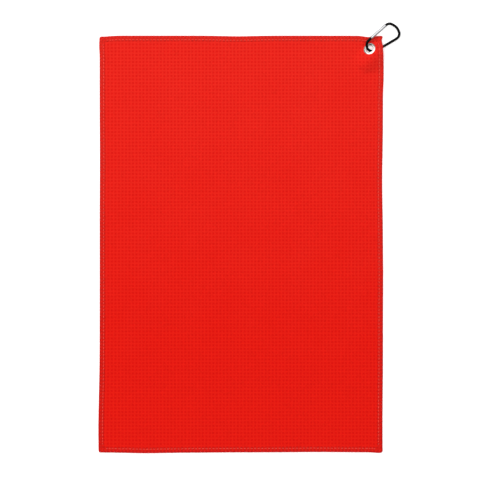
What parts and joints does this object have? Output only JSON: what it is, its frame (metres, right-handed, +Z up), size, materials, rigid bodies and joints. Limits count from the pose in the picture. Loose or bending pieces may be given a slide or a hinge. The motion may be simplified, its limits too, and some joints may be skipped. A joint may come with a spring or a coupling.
{
  "type": "golf towel",
  "caption": "Flat rectangular waffle-weave towel with a sewn hem, a metal eyelet in one corner and a snap carabiner for hanging it from a bag.",
  "frame": {"origin": "centre of the cloth's flat underside, on the surface that the towel lies on", "axes": "+X to the eyelet's side of the towel, +Y along its length to the end with the eyelet, +Z up out of its front face"},
  "size_m": [0.4329, 0.6184, 0.014],
  "materials": {
    "red_cloth": "matt waffle-weave microfibre",
    "red_thread": "polyester sewing thread with a slight sheen",
    "nickel_plate": "bright nickel-plated brass",
    "black_anodised": "satin black anodising",
    "satin_aluminium": "polished bare aluminium",
    "spring_steel": "bright drawn steel"
  },
  "bodies": {
    "towel": {"towel_cloth": "red_cloth", "needle_thread_top": "red_thread", "needle_thread_bottom": "red_thread", "needle_thread_left": "red_thread", "needle_thread_right": "red_thread", "bobbin_thread_top": "red_thread", "bobbin_thread_bottom": "red_thread", "bobbin_thread_left": "red_thread", "bobbin_thread_right": "red_thread", "grommet_front": "nickel_plate", "grommet_washer": "nickel_plate"},
    "carabiner": {"carabiner_body": "black_anodised", "gate_pivot_pin": "spring_steel"},
    "gate": {"gate": "satin_aluminium", "gate_latch_pin": "spring_steel", "gate_spring": "spring_steel"},
    "plunger": {"spring_plunger": "spring_steel"}
  },
  "joints": [
    {"name": "carabiner_swing", "type": "hinge", "parent": "towel", "child": "carabiner", "pos_m": [0.1847, 0.2807, 0.00548], "axis": [0.7547, 0.6561, 0], "range_deg": [0, 80]},
    {"name": "gate_swing", "type": "hinge", "parent": "carabiner", "child": "gate", "pos_m": [0.18774, 0.2971, 0.00807], "axis": [-0.1587, 0.1826, -0.9703], "range_deg": [0, 25], "stiffness_Nm_per_rad": 0.05, "springref_deg": -68.75},
    {"name": "plunger_slide", "type": "slide", "parent": "gate", "child": "plunger", "axis": [0.7547, 0.6561, 0], "range_m": [0, 0.00062], "deforming": ["gate_spring"]}
  ],
  "couplings": [
    {"joint": "plunger_slide", "follows": "gate_swing", "m_per_rad": 0.001375}
  ]
}
